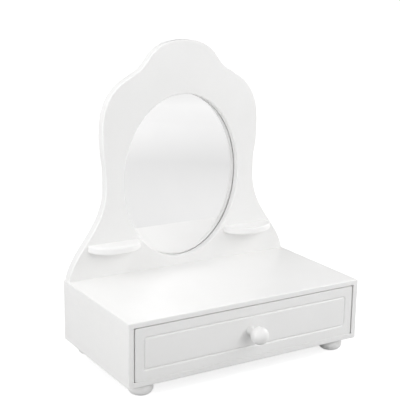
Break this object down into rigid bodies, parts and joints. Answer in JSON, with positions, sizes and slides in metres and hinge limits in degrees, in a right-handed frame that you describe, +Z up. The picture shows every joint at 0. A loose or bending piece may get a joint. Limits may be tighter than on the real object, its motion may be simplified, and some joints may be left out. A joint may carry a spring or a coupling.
{
  "type": "tabletop vanity",
  "caption": "Low painted cabinet on bun feet with a sliding drawer, carrying a shaped upright panel with a recessed oval mirror and small half-moon shelves.",
  "frame": {"origin": "on the floor plane under the middle of the whole bounding box, knob included", "axes": "+X to the right as seen from the front, +Y to the back, +Z up"},
  "size_m": [0.42, 0.265, 0.497],
  "materials": {
    "white_paint": "white satin paint on smooth MDF and turned wood",
    "drawer_wood": "bare planed wood",
    "hardboard": "bare brown hardboard",
    "mirror_silver": "silvered glass",
    "screw_steel": "zinc plated"
  },
  "bodies": {
    "cabinet": {"top_board": "white_paint", "side_left": "white_paint", "side_right": "white_paint", "bottom_board": "white_paint", "back_board": "white_paint", "foot_front_left": "white_paint", "foot_front_right": "white_paint", "foot_rear_left": "white_paint", "foot_rear_right": "white_paint", "foot_screw_front_left": "screw_steel", "foot_screw_front_right": "screw_steel", "foot_screw_rear_left": "screw_steel", "foot_screw_rear_right": "screw_steel", "mirror_panel": "white_paint", "mirror_glass": "mirror_silver", "mirror_backing": "hardboard", "backing_screw_1": "screw_steel", "backing_screw_2": "screw_steel", "backing_screw_3": "screw_steel", "backing_screw_4": "screw_steel", "backing_screw_5": "screw_steel", "backing_screw_6": "screw_steel", "panel_screw_1": "screw_steel", "panel_screw_2": "screw_steel", "panel_screw_3": "screw_steel", "panel_screw_4": "screw_steel", "shelf_left": "white_paint", "shelf_right": "white_paint", "shelf_screw_left_1": "screw_steel", "shelf_screw_left_2": "screw_steel", "shelf_screw_right_1": "screw_steel", "shelf_screw_right_2": "screw_steel"},
    "drawer": {"drawer_front": "white_paint", "drawer_side_left": "drawer_wood", "drawer_side_right": "drawer_wood", "drawer_back": "drawer_wood", "drawer_bottom": "drawer_wood", "knob": "white_paint", "knob_screw": "screw_steel"}
  },
  "joints": [
    {"name": "drawer_slide", "type": "slide", "parent": "cabinet", "child": "drawer", "axis": [0, -1, 0], "range_m": [0, 0.15]}
  ]
}
